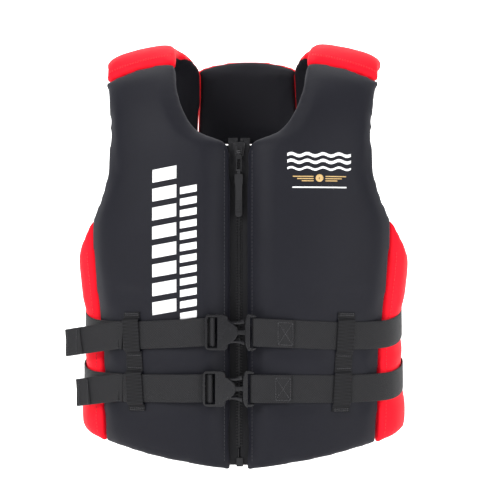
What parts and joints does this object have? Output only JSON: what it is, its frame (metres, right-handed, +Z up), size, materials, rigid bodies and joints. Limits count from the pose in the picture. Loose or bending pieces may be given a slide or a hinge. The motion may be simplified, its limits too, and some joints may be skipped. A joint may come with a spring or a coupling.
{
  "type": "life jacket",
  "caption": "Sleeveless front-zip neoprene buoyancy vest with red shoulders and side panels, waist belts with side-release buckles, and webbing keepers.",
  "frame": {"origin": "on the torso's vertical axis, at the level of the lowest point of the hem", "axes": "+Z up towards the shoulders, -Y the way the wearer faces (the zip side), +X the wearer's left"},
  "size_m": [0.4786, 0.2997, 0.5932],
  "materials": {
    "black_neoprene": "satin",
    "red_neoprene": "satin",
    "foam": "matte",
    "lining": "matte",
    "zip_tape": "matte",
    "zip_plastic": "satin",
    "zip_metal": "satin",
    "puller": "satin",
    "webbing": "matte",
    "buckle_plastic": "glossy"
  },
  "bodies": {
    "vest": {"back_cover": "black_neoprene", "back_foam_lower": "foam", "back_foam_middle": "foam", "back_foam_upper": "foam", "back_keeper_left": "webbing", "back_keeper_right": "webbing", "back_lining": "lining", "back_yoke_cover": "red_neoprene", "back_yoke_lining": "lining", "front_cover_left": "black_neoprene", "front_cover_right": "black_neoprene", "front_foam_left": "foam", "front_foam_right": "foam", "front_keeper_left": "webbing", "front_keeper_right": "webbing", "front_lining_left": "lining", "front_lining_right": "lining", "lower_strap_back": "webbing", "lower_strap_left": "webbing", "lower_strap_right": "webbing", "shoulder_cover_left": "red_neoprene", "shoulder_cover_right": "red_neoprene", "shoulder_foam_left": "foam", "shoulder_foam_right": "foam", "shoulder_lining_left": "lining", "shoulder_lining_right": "lining", "side_cover_left": "red_neoprene", "side_cover_right": "red_neoprene", "side_foam_left": "foam", "side_foam_right": "foam", "side_lining_left": "lining", "side_lining_right": "lining", "upper_strap_back": "webbing", "upper_strap_left": "webbing", "upper_strap_right": "webbing", "zip_box": "zip_plastic", "zip_guard": "lining", "zip_pin": "zip_plastic", "zip_tape_left": "zip_tape", "zip_tape_right": "zip_tape", "zip_teeth_left": "zip_plastic", "zip_teeth_right": "zip_plastic", "zip_top_stops": "zip_plastic"},
    "slider": {"zip_slider": "zip_metal"},
    "tab": {"zip_tab": "zip_metal"},
    "puller": {"zip_puller": "puller"},
    "upper_female": {"upper_buckle_female": "buckle_plastic"},
    "upper_male": {"upper_buckle_male": "buckle_plastic"},
    "upper_arm_top": {"upper_latch_top": "buckle_plastic"},
    "upper_arm_bottom": {"upper_latch_bottom": "buckle_plastic"},
    "upper_loose_end": {"upper_tail": "webbing"},
    "lower_female": {"lower_buckle_female": "buckle_plastic"},
    "lower_male": {"lower_buckle_male": "buckle_plastic"},
    "lower_arm_top": {"lower_latch_top": "buckle_plastic"},
    "lower_arm_bottom": {"lower_latch_bottom": "buckle_plastic"},
    "lower_loose_end": {"lower_tail": "webbing"}
  },
  "joints": [
    {"name": "zip_slider_travel", "type": "slide", "parent": "vest", "child": "slider", "axis": [0, 0, -1], "range_m": [0, 0.4], "deforming": ["zip_teeth_right", "zip_teeth_left"]},
    {"name": "zip_tab_lift", "type": "hinge", "parent": "slider", "child": "tab", "pos_m": [0, -0.123, 0.435], "axis": [-1, 0, 0], "range_deg": [0, 120]},
    {"name": "zip_puller_swing", "type": "hinge", "parent": "tab", "child": "puller", "pos_m": [0, -0.123, 0.41], "axis": [-1, 0, 0], "range_deg": [0, 60]},
    {"name": "upper_strap_adjust", "type": "slide", "parent": "vest", "child": "upper_female", "axis": [-1, 0, 0], "range_m": [0, 0.04], "deforming": ["upper_strap_right"]},
    {"name": "upper_buckle_release", "type": "slide", "parent": "vest", "child": "upper_male", "axis": [1, 0, 0], "range_m": [0, 0.03], "deforming": ["upper_strap_left", "upper_latch_top", "upper_latch_bottom"]},
    {"name": "upper_latch_top_squeeze", "type": "hinge", "parent": "upper_male", "child": "upper_arm_top", "pos_m": [0.0083, -0.1535, 0.2038], "axis": [0, -1, 0], "range_deg": [0, 8], "stiffness_Nm_per_rad": 0.3},
    {"name": "upper_latch_bottom_squeeze", "type": "hinge", "parent": "upper_male", "child": "upper_arm_bottom", "pos_m": [0.0083, -0.1535, 0.1762], "axis": [0, 1, 0], "range_deg": [0, 8], "stiffness_Nm_per_rad": 0.3},
    {"name": "upper_tail_flap", "type": "hinge", "parent": "vest", "child": "upper_loose_end", "pos_m": [-0.16644, -0.11769, 0.184], "axis": [0, 0, 1], "range_deg": [0, 60]},
    {"name": "lower_strap_adjust", "type": "slide", "parent": "vest", "child": "lower_female", "axis": [-1, 0, 0], "range_m": [0, 0.04], "deforming": ["lower_strap_right"]},
    {"name": "lower_buckle_release", "type": "slide", "parent": "vest", "child": "lower_male", "axis": [1, 0, 0], "range_m": [0, 0.03], "deforming": ["lower_strap_left", "lower_latch_top", "lower_latch_bottom"]},
    {"name": "lower_latch_top_squeeze", "type": "hinge", "parent": "lower_male", "child": "lower_arm_top", "pos_m": [0.0053, -0.1535, 0.1278], "axis": [0, -1, 0], "range_deg": [0, 8], "stiffness_Nm_per_rad": 0.3},
    {"name": "lower_latch_bottom_squeeze", "type": "hinge", "parent": "lower_male", "child": "lower_arm_bottom", "pos_m": [0.0053, -0.1535, 0.1002], "axis": [0, 1, 0], "range_deg": [0, 8], "stiffness_Nm_per_rad": 0.3},
    {"name": "lower_tail_flap", "type": "hinge", "parent": "vest", "child": "lower_loose_end", "pos_m": [-0.16633, -0.11856, 0.112], "axis": [0, 0, 1], "range_deg": [0, 60]}
  ]
}
